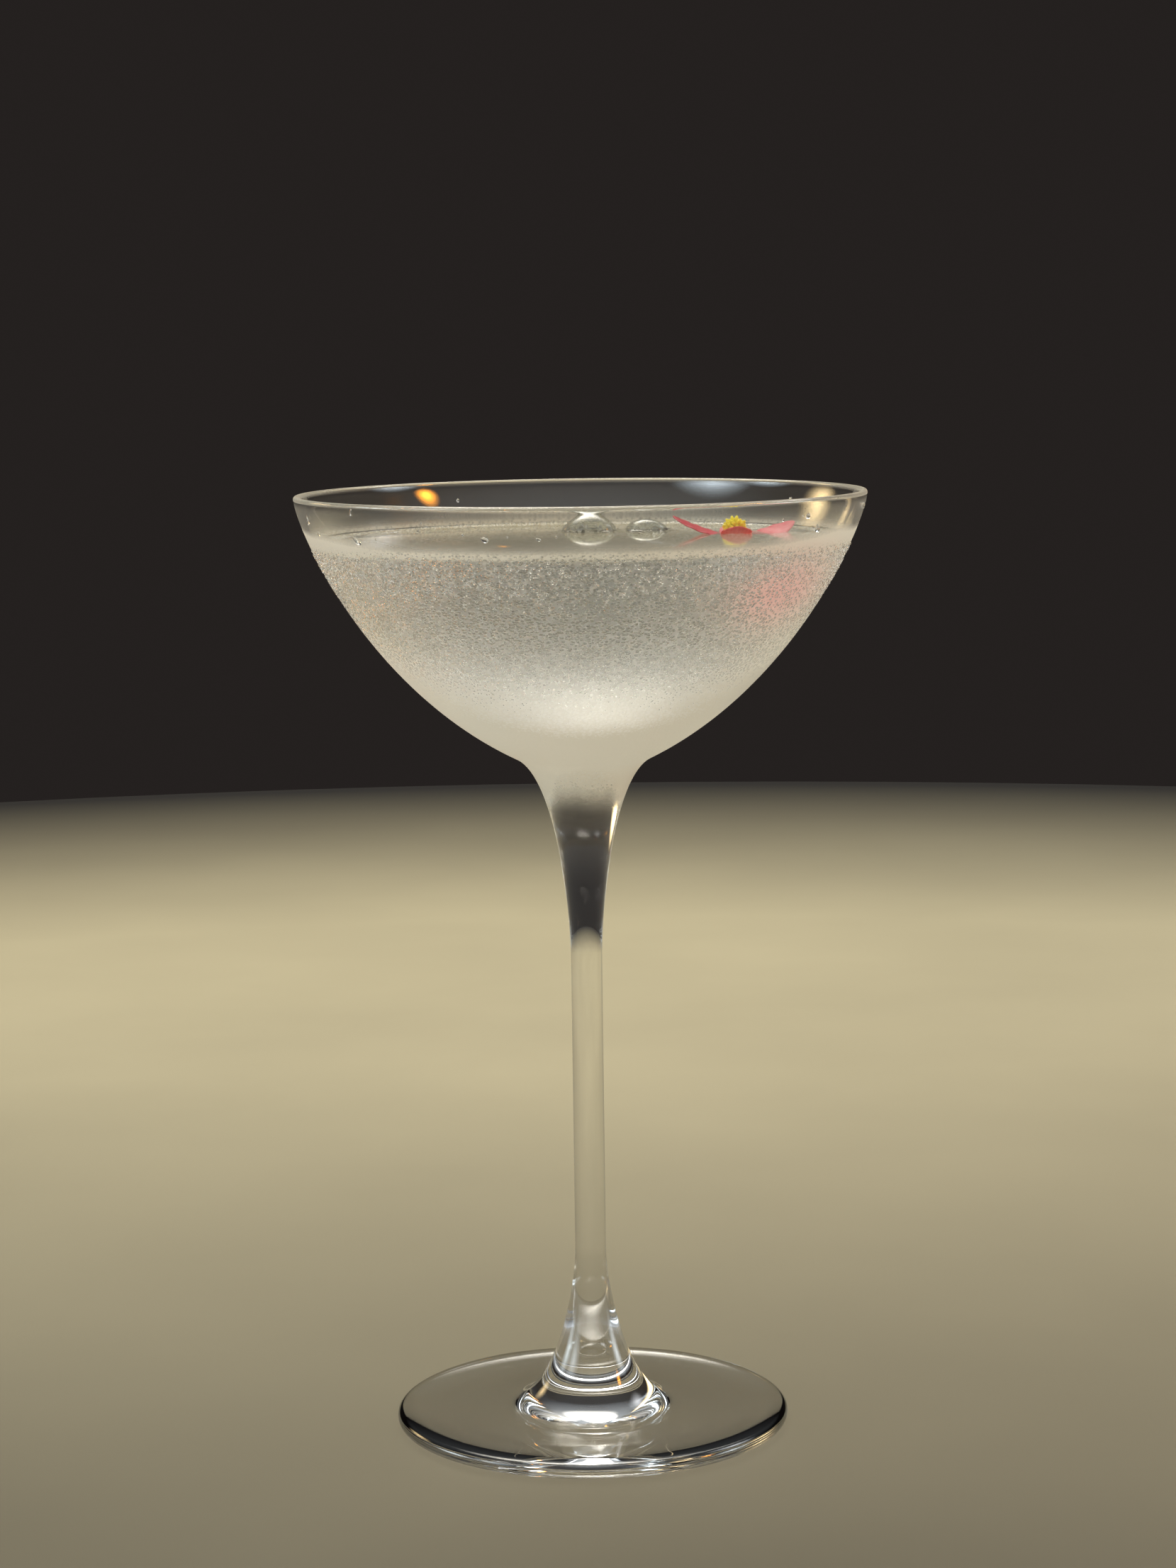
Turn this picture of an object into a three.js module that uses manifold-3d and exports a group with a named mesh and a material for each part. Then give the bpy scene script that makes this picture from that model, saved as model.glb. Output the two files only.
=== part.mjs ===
// A chilled cocktail in a stemmed coupe, with a small four-petalled flower and two slivers of clear ice
// afloat on it. Millimetres, +Z up. The origin is the middle of the foot, on the surface it stands on.
import * as THREE from 'three';
import { mergeVertices } from 'three/addons/utils/BufferGeometryUtils.js';
import Module from 'manifold-3d';

const wasm = await Module();
wasm.setup();

// ---- Driving dimensions: the glass -------------------------------------------------------------
const TOTAL_HEIGHT = 175;
const RIM_RADIUS = 52.4;
const RIM_WALL = 1.05;
const BOWL_BASE = { radius: 12.55, height: 126 }; // where the bowl's outside turns into the stem
const BOWL_BASE_LEAN = 63.7; // degrees from the vertical
const BOWL_FLOOR = 125.6; // lowest point of the bowl's inside, over the solid root of the stem
const STEM_RADIUS = 2.9;
const STEM_TOP = 88.4;
const STEM_BOTTOM = 32.5;
const FOOT_RADIUS = 36.9;
const FOOT_THICKNESS = 2.8; // at the foot's rounded edge
const FOOT_SHOULDER = { radius: 16.1, height: 3.5 }; // where the flare of the stem meets the foot's top
const RESTING_RING = 28; // inner radius of the flat ring that the glass stands on
const RECESS_DEPTH = 0.7; // of the shallow dish inside that ring
const EDGE_TURN = 80; // degrees above straight outwards where the foot's round edge meets its top

// How strongly each curve of the outline holds on to its end directions: handle lengths and leans.
const LIP_LEAN = 4.8;
const LIP_HOLD = 5.7;
const BELLY_HOLD = 30.1;
const ROOT_HOLD = 8.4;
const STEM_HOLD = 7.7;
const FLARE_HOLD = 5.7;
const SHOULDER_HOLD = 9.7;
const SHOULDER_LIFT = 0.4; // rise of that handle, so that the flare leaves the foot at its slope
const INNER_LIP_LEAN = 8.3;
const INNER_LIP_HOLD = 10.5;
const INNER_FLOOR_HOLD = 28.3;

// ---- Driving dimensions: the drink, the flower and the ice -------------------------------------
const DRINK_LEVEL = 165.85;
const GAP = 0.3; // between neighbours that touch
const FLOWER = { x: 29, y: 17.5 }; // middle of the flower on the drink
const STAMEN_RADIUS = 2.6;
const STAMEN_BASE = 1.0; // above the drink
const STAMEN_TOP = 3.7; // above the drink
const STAMEN_BUMP = 0.16;
const STAMEN_BUMPS_AROUND = 7;
const STAMEN_UNDERSIDE = 0.12; // depth of the dome's lower side, as a share of its upper side
const PETAL_THICKNESS = 0.55;
const LARGE_ICE = { x: 1.9, y: 28.6, halfLength: 5.6, halfWidth: 4.4, proud: 2.9, sunk: 4.6, turn: 8 };
const SMALL_ICE = { x: 12.6, y: 28.4, halfLength: 4.2, halfWidth: 3.5, proud: 2.2, sunk: 3.8, turn: -14 };
const ICE_TWIST = 0.1; // how lopsided the worn ice is: across both its axes, towards +Y and from +X
const ICE_FULLER_BACK = 0.08;
const ICE_SLIMMER_END = 0.06;

// The two broad petals lie left and right, the two narrow ones front and back. heading is the
// direction of the tip, counted in degrees from +X; rise is the height of the tip, cup the height
// that the long edges gain, and roll the sideways tilt, all over the petal's own root.
const PETALS = {
  petal_left: { heading: 180, length: 10.4, width: 9.6, rise: 2.6, bend: 1.5, cup: 0.2, roll: 0 },
  petal_right: { heading: 2, length: 10.2, width: 9.8, rise: 1.1, bend: 1.2, cup: 0.5, roll: 0.7 },
  petal_front: { heading: -88, length: 7.6, width: 4.6, rise: 0.7, bend: 1.4, cup: 0.3, roll: 0 },
  petal_back: { heading: 94, length: 7.8, width: 4.8, rise: 1.3, bend: 1.4, cup: 0.3, roll: 0 },
};
const PETAL_ROOT = 1.2; // distance of each petal's root from the middle of the flower
const PETAL_SWELL = 0.3; // how much wider a petal is towards its tip than an oval

// ---- Fineness ----------------------------------------------------------------------------------
const TURNS = 56; // facets round the glass and the drink
const BOWL_STEPS = 13;
const NECK_STEPS = 9;
const FLARE_STEPS = 9;
const LIP_STEPS = 4;
const EDGE_STEPS = 4;
const RECESS_STEPS = 3;
const SMALL_AROUND = 16;
const SMALL_DOWN = 9;

const degrees = THREE.MathUtils.degToRad;
const point = (radius, height) => new THREE.Vector2(radius, height);

// A step of the given length, leaning outwards from straight up by an angle in degrees.
function leaning(length, lean) {
  return point(length * Math.sin(degrees(lean)), length * Math.cos(degrees(lean)));
}

// A cubic curve between two points, leaving and reaching them along two handles.
function smoothRun(start, startHandle, endHandle, end, steps) {
  const first = start.clone().add(startHandle);
  const second = end.clone().add(endHandle);
  return new THREE.CubicBezierCurve(start, first, second, end).getPoints(steps);
}

// An arc of a circle between two angles in degrees, counted from straight outwards.
function arc(centre, radius, from, to, steps) {
  const points = [];
  for (let i = 0; i <= steps; i += 1) {
    const angle = degrees(from + ((to - from) * i) / steps);
    points.push(point(centre.x + radius * Math.cos(angle), centre.y + radius * Math.sin(angle)));
  }
  return points;
}

// A round body about +Z whose outline runs from the axis at the bottom to the axis at the top.
function turned(outline) {
  const geometry = new THREE.LatheGeometry(outline, TURNS);
  geometry.rotateX(Math.PI / 2);
  return geometry;
}

// Leaves out every point that repeats the one before it.
function joined(...runs) {
  const closest = 1e-4;
  return runs.flat().filter((p, i, all) => i === 0 || p.distanceTo(all[i - 1]) > closest);
}

// The inside of the bowl, from its floor on the axis up to the lip.
function innerBowl(steps) {
  const lip = point(RIM_RADIUS - RIM_WALL, TOTAL_HEIGHT - RIM_WALL / 2);
  const lipHandle = leaning(-INNER_LIP_HOLD, INNER_LIP_LEAN);
  return smoothRun(point(0, BOWL_FLOOR), point(INNER_FLOOR_HOLD, 0), lipHandle, lip, steps);
}

// The whole glass as one outline: under the foot, round its edge, up the stem, over the lip and in.
function glassOutline() {
  const edgeRadius = FOOT_THICKNESS / 2;
  const edgeCentre = point(FOOT_RADIUS - edgeRadius, edgeRadius);
  const lipRadius = RIM_WALL / 2;
  const lipCentre = point(RIM_RADIUS - lipRadius, TOTAL_HEIGHT - lipRadius);
  const shoulder = point(FOOT_SHOULDER.radius, FOOT_SHOULDER.height);
  const root = point(BOWL_BASE.radius, BOWL_BASE.height);
  const dishHold = point(RESTING_RING / 2, 0);
  const recess = smoothRun(
    point(0, RECESS_DEPTH), dishHold, dishHold.clone().negate(), point(RESTING_RING, 0), RECESS_STEPS,
  );
  const flare = smoothRun(
    shoulder, point(-SHOULDER_HOLD, SHOULDER_LIFT),
    point(0, -FLARE_HOLD), point(STEM_RADIUS, STEM_BOTTOM), FLARE_STEPS,
  );
  const neck = smoothRun(
    point(STEM_RADIUS, STEM_TOP), point(0, STEM_HOLD), leaning(-ROOT_HOLD, BOWL_BASE_LEAN), root, NECK_STEPS,
  );
  const bowl = smoothRun(
    root, leaning(BELLY_HOLD, BOWL_BASE_LEAN), leaning(-LIP_HOLD, LIP_LEAN),
    point(RIM_RADIUS, lipCentre.y), BOWL_STEPS,
  );
  return joined(
    recess,
    arc(edgeCentre, edgeRadius, -90, EDGE_TURN, EDGE_STEPS),
    flare,
    neck,
    bowl,
    arc(lipCentre, lipRadius, 0, 180, LIP_STEPS),
    innerBowl(BOWL_STEPS).reverse(),
  );
}

// The drink fills the bowl up to its level, a gap inside the wall.
function drinkOutline() {
  const wall = innerBowl(BOWL_STEPS * 2).map((p, i, all) => {
    const before = all[Math.max(i - 1, 0)];
    const after = all[Math.min(i + 1, all.length - 1)];
    const along = after.clone().sub(before).normalize();
    return point(Math.max(p.x - along.y * GAP, 0), p.y + along.x * GAP);
  });
  const over = wall.findIndex((p) => p.y > DRINK_LEVEL);
  const share = (DRINK_LEVEL - wall[over - 1].y) / (wall[over].y - wall[over - 1].y);
  const edge = wall[over - 1].clone().lerp(wall[over], share);
  const below = wall.slice(0, over).filter((p, i) => i % 2 === 0);
  return joined(below, [edge, point(0, DRINK_LEVEL)]);
}

// A closed mesh as a solid that can be cut, and a solid back as a mesh.
function solidOf(geometry) {
  const bare = geometry.clone();
  bare.deleteAttribute('normal');
  bare.deleteAttribute('uv');
  const merged = mergeVertices(bare);
  const vertProperties = new Float32Array(merged.attributes.position.array);
  const triVerts = new Uint32Array(merged.index.array);
  return new wasm.Manifold(new wasm.Mesh({ numProp: 3, vertProperties, triVerts }));
}

function geometryOf(solid) {
  const { vertProperties, triVerts } = solid.getMesh();
  const geometry = new THREE.BufferGeometry();
  geometry.setAttribute('position', new THREE.BufferAttribute(new Float32Array(vertProperties), 3));
  geometry.setIndex(new THREE.BufferAttribute(new Uint32Array(triVerts), 1));
  geometry.computeVertexNormals();
  return geometry;
}

// A unit ball whose points are each moved to where place(point) puts them.
function shapedBall(place) {
  const geometry = new THREE.SphereGeometry(1, SMALL_AROUND, SMALL_DOWN);
  geometry.rotateX(Math.PI / 2);
  const position = geometry.attributes.position;
  const p = new THREE.Vector3();
  for (let i = 0; i < position.count; i += 1) {
    p.fromBufferAttribute(position, i);
    place(p);
    position.setXYZ(i, p.x, p.y, p.z);
  }
  geometry.computeVertexNormals();
  return geometry;
}

// A petal is a ball pressed flat: an oval that swells towards the tip, rises along its length,
// cups up at its long edges and tilts a little sideways. It leaves the root along +X.
function petalGeometry({ length, width, rise, bend, cup, roll }) {
  return shapedBall((p) => {
    const along = (p.x + 1) / 2;
    const across = p.y * (1 + PETAL_SWELL * p.x);
    const lift = rise * along ** bend + (cup * across ** 2 + roll * across) * along;
    const least = GAP + PETAL_THICKNESS / 2;
    const height = DRINK_LEVEL + least + Math.max(lift, 0) + (p.z * PETAL_THICKNESS) / 2;
    p.set(PETAL_ROOT + length * along, (across * width) / 2, height);
  });
}

// The stamens are one bumpy dome, nearly flat below.
function stamenGeometry() {
  const upper = (STAMEN_TOP - STAMEN_BASE) / (1 + STAMEN_UNDERSIDE);
  const middle = DRINK_LEVEL + STAMEN_TOP - upper;
  return shapedBall((p) => {
    const turn = Math.atan2(p.y, p.x);
    const bump = STAMEN_BUMP * Math.cos(STAMEN_BUMPS_AROUND * turn) * Math.hypot(p.x, p.y);
    const radius = STAMEN_RADIUS + bump;
    const height = p.z < 0 ? p.z * STAMEN_UNDERSIDE : p.z;
    p.set(p.x * radius, p.y * radius, middle + height * upper);
  });
}

// A sliver of ice is a worn, lopsided lump, part above and part below the drink's level.
function iceGeometry({ x, y, halfLength, halfWidth, proud, sunk, turn }, swell = 0) {
  const geometry = shapedBall((p) => {
    const lopsided = 1 + ICE_TWIST * p.x * p.y + ICE_FULLER_BACK * p.y - ICE_SLIMMER_END * p.x;
    const half = (proud + sunk) / 2;
    const middle = (proud - sunk) / 2;
    p.set(
      p.x * lopsided * halfLength + p.x * swell,
      p.y * lopsided * halfWidth + p.y * swell,
      p.z * (half + swell) + middle,
    );
  });
  geometry.rotateZ(degrees(turn));
  geometry.translate(x, y, DRINK_LEVEL);
  return geometry;
}

// The drink, with a hollow round each sliver of ice.
function drinkGeometry() {
  let solid = solidOf(turned(drinkOutline()));
  for (const ice of [LARGE_ICE, SMALL_ICE]) {
    solid = solid.subtract(solidOf(iceGeometry(ice, GAP)));
  }
  return geometryOf(solid);
}

function named(name, geometry, finish) {
  const mesh = new THREE.Mesh(geometry, new THREE.MeshStandardMaterial({ metalness: 0, ...finish }));
  mesh.name = name;
  return mesh;
}

const FINISHES = {
  glass: { color: 0xe9efee, roughness: 0.03, transparent: true, opacity: 0.35 },
  drink: { color: 0xe6e2c8, roughness: 0.02, transparent: true, opacity: 0.6 },
  ice: { color: 0xeef3f5, roughness: 0.05, transparent: true, opacity: 0.5 },
  petal: { color: 0xd8485a, roughness: 0.5 },
  stamens: { color: 0xe8c400, roughness: 0.7 },
};

const cocktail = new THREE.Group();
cocktail.add(named('glass', turned(glassOutline()), FINISHES.glass));
cocktail.add(named('drink', drinkGeometry(), FINISHES.drink));
cocktail.add(named('ice_sliver_large', iceGeometry(LARGE_ICE), FINISHES.ice));
cocktail.add(named('ice_sliver_small', iceGeometry(SMALL_ICE), FINISHES.ice));

const flower = new THREE.Group();
flower.position.set(FLOWER.x, FLOWER.y, 0);
flower.add(named('stamens', stamenGeometry(), FINISHES.stamens));
for (const [name, petal] of Object.entries(PETALS)) {
  const mesh = named(name, petalGeometry(petal), FINISHES.petal);
  mesh.rotation.z = degrees(petal.heading);
  flower.add(mesh);
}
cocktail.add(flower);

export default cocktail;
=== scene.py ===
"""Dresses a chilled cocktail in a stemmed coupe.

The glass is clear, with fog and beads of condensation on its bowl. The drink has a meniscus, and two worn
slivers of ice and a small pink flower float on it.

Every shape is a surface of two parameters worked out as numpy arrays. Lengths are metres. Sizes that read
better in millimetres are multiplied by MM.
"""
import logging
import math
from collections.abc import Sequence
from dataclasses import dataclass, field
from enum import Enum

import bpy
import numpy as np
from mathutils import Matrix, Vector


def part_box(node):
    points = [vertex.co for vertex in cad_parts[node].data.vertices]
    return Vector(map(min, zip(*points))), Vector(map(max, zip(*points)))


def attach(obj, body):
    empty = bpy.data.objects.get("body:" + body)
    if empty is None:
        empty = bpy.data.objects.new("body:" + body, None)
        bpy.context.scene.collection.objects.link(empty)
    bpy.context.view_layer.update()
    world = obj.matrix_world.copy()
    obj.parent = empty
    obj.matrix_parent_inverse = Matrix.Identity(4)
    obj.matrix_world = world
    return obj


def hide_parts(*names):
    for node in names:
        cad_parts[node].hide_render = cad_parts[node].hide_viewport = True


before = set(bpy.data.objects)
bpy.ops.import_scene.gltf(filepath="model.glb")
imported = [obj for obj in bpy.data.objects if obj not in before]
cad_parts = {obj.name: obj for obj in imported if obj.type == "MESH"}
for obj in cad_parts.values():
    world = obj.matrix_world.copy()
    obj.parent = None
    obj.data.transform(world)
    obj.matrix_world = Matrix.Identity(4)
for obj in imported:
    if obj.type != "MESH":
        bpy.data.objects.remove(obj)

Array = np.ndarray
MM = 0.001
NOISE_SPAN = (0.3, 0.7)    # where most of a noise texture's values lie
BODY = "root"
log = logging.getLogger("cocktail")


# ---- Curves and surfaces ------------------------------------------------------------------------
def bezier(start: Sequence[float], start_hold: Sequence[float], end_hold: Sequence[float],
           end: Sequence[float], steps: int) -> Array:
    """A cubic curve that leaves its start along one handle and reaches its end along another.

    Formula: (1-t)^3 A + 3(1-t)^2 t B + 3(1-t) t^2 C + t^3 D, with B = A + start_hold and C = D + end_hold.

    Args:
        start: First point, radius and height.
        start_hold: Handle from the first point.
        end_hold: Handle from the last point.
        end: Last point.
        steps: Number of stretches.

    Returns:
        Points of the curve, one row each.
    """
    t = np.linspace(0.0, 1.0, steps + 1)[:, None]
    a, d = np.asarray(start, float), np.asarray(end, float)
    b, c = a + np.asarray(start_hold, float), d + np.asarray(end_hold, float)
    return (1 - t) ** 3 * a + 3 * (1 - t) ** 2 * t * b + 3 * (1 - t) * t ** 2 * c + t ** 3 * d


def arc(centre: Sequence[float], radius: float, start: float, end: float, steps: int) -> Array:
    """An arc of a circle: centre + radius (cos a, sin a), with a from start to end in degrees."""
    a = np.radians(np.linspace(start, end, steps + 1))
    return np.asarray(centre, float) + radius * np.stack([np.cos(a), np.sin(a)], axis=1)


def leaning(length: float, lean: float) -> Array:
    """A step of that length, leaning outwards from straight up by lean degrees."""
    return length * np.array([math.sin(math.radians(lean)), math.cos(math.radians(lean))])


def joined(*runs: Array) -> Array:
    """One outline from several runs, leaving out each point that repeats the one before it.

    Args:
        *runs: Points of each run, in order.

    Returns:
        Points of the whole outline, one row each.
    """
    points = np.concatenate(runs)
    step = np.linalg.norm(np.diff(points, axis=0), axis=1)
    return points[np.concatenate([[True], step > 1e-7])]


def turned(outline: Array, turns: int) -> Array:
    """A surface of revolution as a grid: the point (r, z) at turn a goes to (r cos a, r sin a, z).

    Args:
        outline: Points as radius and height.
        turns: Columns round the axis.

    Returns:
        Grid of points, rows along the outline and columns round the axis.
    """
    a = np.arange(turns) * (2 * np.pi / turns)
    r, z = outline[:, :1], outline[:, 1:]
    return np.stack([r * np.cos(a), r * np.sin(a), z + 0 * a], axis=2)


def wrapped_faces(rows: int, columns: int) -> Array:
    """Four-cornered faces of a grid whose last column joins its first.

    The corners are (i, j), (i, j + 1), (i + 1, j + 1) and (i + 1, j).

    Args:
        rows: Rows of the grid.
        columns: Columns of the grid.

    Returns:
        Vertex numbers, one row for each face.
    """
    i, j = np.meshgrid(np.arange(rows - 1), np.arange(columns), indexing="ij")
    n = (j + 1) % columns
    row, above = i * columns, (i + 1) * columns
    return np.stack([row + j, row + n, above + n, above + j], axis=2).reshape(-1, 4)


def fans(rows: int, columns: int) -> Array:
    """Triangles that close a wrapped grid at both ends, on two extra points stored after the grid's own.

    Args:
        rows: Rows of the grid.
        columns: Columns of the grid.

    Returns:
        Vertex numbers, one row for each triangle.
    """
    j = np.arange(columns)
    n = (j + 1) % columns
    first, last = rows * columns, rows * columns + 1
    top = (rows - 1) * columns
    start = np.stack([n, j, np.full(columns, first)], axis=1)
    end = np.stack([top + j, top + n, np.full(columns, last)], axis=1)
    return np.concatenate([start, end])


def closed_parts(grids: Array) -> tuple[Array, Array, Array]:
    """Closes a stack of wrapped grids at their two ends.

    The end points are the mean of the first and of the last row, so a row on the axis closes on itself.

    Args:
        grids: Array of shape (pieces, rows, columns, 3).

    Returns:
        Points, four-cornered faces and triangles of all pieces together.
    """
    count, rows, columns, _ = grids.shape
    ends = np.stack([grids[:, 0].mean(axis=1), grids[:, -1].mean(axis=1)], axis=1)
    points = np.concatenate([grids.reshape(count, rows * columns, 3), ends], axis=1)
    shift = (np.arange(count) * (rows * columns + 2))[:, None, None]
    quads = (wrapped_faces(rows, columns)[None] + shift).reshape(-1, 4)
    triangles = (fans(rows, columns)[None] + shift).reshape(-1, 3)
    return points.reshape(-1, 3), quads, triangles


def enclosed(points: Array, triangles: Array) -> float:
    """Signed volume of a closed mesh: a sixth of the sum of each triangle's corner triple product."""
    a, b, c = (points[triangles[:, k]] for k in range(3))
    return float(np.einsum("ij,ij->i", a, np.cross(b, c)).sum() / 6)


def mesh_object(name: str, points: Array, quads: Array, triangles: Array) -> bpy.types.Object:
    """Puts points and faces into a smooth-shaded mesh whose faces point outwards.

    Args:
        name: Name of the piece.
        points: One row for each vertex.
        quads: Four-cornered faces.
        triangles: Three-cornered faces.

    Returns:
        The new object, at the origin.
    """
    split = np.concatenate([triangles, quads[:, [0, 1, 2]], quads[:, [0, 2, 3]]])
    if enclosed(points, split) < 0:
        quads, triangles = quads[:, ::-1], triangles[:, ::-1]
    mesh = bpy.data.meshes.new(name)
    corners = np.concatenate([quads.ravel(), triangles.ravel()]).astype(np.int32)
    starts = np.concatenate([np.arange(len(quads)) * 4, len(quads) * 4 + np.arange(len(triangles)) * 3])
    mesh.vertices.add(len(points))
    mesh.vertices.foreach_set("co", points.astype(np.float32).ravel())
    mesh.loops.add(len(corners))
    mesh.loops.foreach_set("vertex_index", corners)
    mesh.polygons.add(len(starts))
    mesh.polygons.foreach_set("loop_start", starts.astype(np.int32))
    mesh.polygons.foreach_set("use_smooth", np.ones(len(starts), bool))
    mesh.update(calc_edges=True)
    mesh.validate()
    piece = bpy.data.objects.new(name, mesh)
    bpy.context.scene.collection.objects.link(piece)
    return piece


def closed_piece(name: str, *grids: Array) -> bpy.types.Object:
    """A piece from one or more wrapped grids, each closed at both ends.

    Args:
        name: Name of the piece.
        *grids: Grids of shape (rows, columns, 3), or stacks of them.

    Returns:
        The new object.
    """
    points, quads, triangles = [], [], []
    start = 0
    for grid in grids:
        p, q, t = closed_parts(grid if grid.ndim == 4 else grid[None])
        points.append(p)
        quads.append(q + start)
        triangles.append(t + start)
        start += len(p)
    return mesh_object(name, np.concatenate(points), np.concatenate(quads), np.concatenate(triangles))


def mark(piece: bpy.types.Object, name: str, values: Array) -> None:
    """Stores one number for each vertex, for the piece's material to read."""
    layer = piece.data.attributes.new(name, "FLOAT", "POINT")
    layer.data.foreach_set("value", np.asarray(values, np.float32).ravel())


def smoothstep(low: float, high: float, value: Array) -> Array:
    """0 below low, 1 above high and 3t^2 - 2t^3 between them."""
    t = np.clip((value - low) / (high - low), 0.0, 1.0)
    return t * t * (3 - 2 * t)


# ---- Material building blocks ------------------------------------------------------------------
class Nodes:
    """A short hand for building one node tree."""

    def __init__(self, tree: bpy.types.NodeTree) -> None:
        """Keeps the tree that new nodes go into."""
        self.tree = tree

    def add(self, kind: str, settings: dict[str, object] | None = None, **inputs: object) -> bpy.types.Node:
        """Adds a node.

        Args:
            kind: Blender's node type, without the word ShaderNode.
            settings: Attributes to set on the node.
            **inputs: Socket names, with _ for a space, and a value or an output socket for each.

        Returns:
            The new node.
        """
        node = self.tree.nodes.new("ShaderNode" + kind)
        for key, value in (settings or {}).items():
            setattr(node, key, value)
        for key, value in inputs.items():
            self.feed(node.inputs[key.replace("_", " ")], value)
        return node

    def feed(self, socket: bpy.types.NodeSocket, value: object) -> None:
        """Links an output socket to a socket, or sets the socket's own value.

        Args:
            socket: Input socket to feed.
            value: An output socket, or a plain value.
        """
        if isinstance(value, bpy.types.NodeSocket):
            self.tree.links.new(value, socket)
        else:
            socket.default_value = value

    def maths(self, operation: str, *values: object, clamp: bool = False) -> bpy.types.NodeSocket:
        """The result of a Math node.

        Args:
            operation: What the node works out.
            *values: Up to three numbers or output sockets.
            clamp: Keeps the result from 0 to 1.

        Returns:
            The node's output.
        """
        node = self.tree.nodes.new("ShaderNodeMath")
        node.operation, node.use_clamp = operation, clamp
        for socket, value in zip(node.inputs, values):
            self.feed(socket, value)
        return node.outputs[0]

    def ramp(self, factor: bpy.types.NodeSocket,
             stops: Sequence[tuple[float, Sequence[float]]]) -> bpy.types.NodeSocket:
        """A colour that runs through some stops as a factor grows.

        Args:
            factor: Where on the ramp the colour is read.
            stops: A place and a colour for each stop.

        Returns:
            The colour.
        """
        node = self.tree.nodes.new("ShaderNodeValToRGB")
        elements = node.color_ramp.elements
        while len(elements) < len(stops):
            elements.new(1.0)
        for element, (place, colour) in zip(elements, stops):
            element.position, element.color = place, (*colour, 1.0)
        self.feed(node.inputs[0], factor)
        return node.outputs[0]

    def spread(self, value: object, low: float, high: float,
               to_low: float, to_high: float) -> bpy.types.NodeSocket:
        """Carries a value from one span over to another and holds it at the ends.

        Args:
            value: A number or an output socket.
            low: Start of the first span.
            high: End of the first span.
            to_low: What low becomes.
            to_high: What high becomes.

        Returns:
            The new value.
        """
        node = self.add("MapRange", Value=value)
        for key, number in zip(("From Min", "From Max", "To Min", "To Max"), (low, high, to_low, to_high)):
            node.inputs[key].default_value = number
        return node.outputs[0]

    def attribute(self, name: str) -> bpy.types.NodeSocket:
        """A number stored on the piece's vertices."""
        return self.add("Attribute", {"attribute_name": name}).outputs["Fac"]

    def lets_light_through(self, shader: bpy.types.NodeSocket, share: float) -> bpy.types.NodeSocket:
        """A shader that rays from a matt surface and rays towards a lamp pass straight through.

        Args:
            shader: What every other ray meets.
            share: How much of the light is left after each pass.

        Returns:
            The combined shader.
        """
        path = self.add("LightPath")
        straight = self.add("BsdfTransparent", Color=(share, share, share, 1.0))
        for ray in ("Is Diffuse Ray", "Is Shadow Ray"):
            both = self.add("MixShader", Fac=path.outputs[ray])
            self.feed(both.inputs[1], shader)
            self.feed(both.inputs[2], straight.outputs[0])
            shader = both.outputs[0]
        return shader

    def group(self, tree: bpy.types.NodeTree, **inputs: object) -> bpy.types.Node:
        """Places a node group with its own values.

        Args:
            tree: The group.
            **inputs: Socket names, with _ for a space, and a value or an output socket for each.

        Returns:
            The group's node.
        """
        node = self.tree.nodes.new("ShaderNodeGroup")
        node.node_tree = tree
        for key, value in inputs.items():
            self.feed(node.inputs[key.replace("_", " ")], value)
        return node


def new_material(name: str) -> tuple[bpy.types.Material, Nodes, bpy.types.Node]:
    """An empty material.

    Args:
        name: Name of the material.

    Returns:
        The material, its node builder and its output node.
    """
    material = bpy.data.materials.new(name)
    material.use_nodes = True
    material.node_tree.nodes.clear()
    nodes = Nodes(material.node_tree)
    return material, nodes, nodes.add("OutputMaterial")


def new_group(name: str, inputs: dict[str, float], outputs: dict[str, str],
              ) -> tuple[bpy.types.NodeTree, Nodes, bpy.types.Node, bpy.types.Node]:
    """An empty node group with named inputs and outputs.

    Args:
        name: Name of the group.
        inputs: Names of the number inputs and their starting values.
        outputs: Names of the outputs and their socket types.

    Returns:
        The group, its node builder, its input node and its output node.
    """
    tree = bpy.data.node_groups.new(name, "ShaderNodeTree")
    for key, value in inputs.items():
        tree.interface.new_socket(key, in_out="INPUT", socket_type="NodeSocketFloat").default_value = value
    for key, kind in outputs.items():
        tree.interface.new_socket(key, in_out="OUTPUT", socket_type=kind)
    return tree, Nodes(tree), tree.nodes.new("NodeGroupInput"), tree.nodes.new("NodeGroupOutput")


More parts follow.
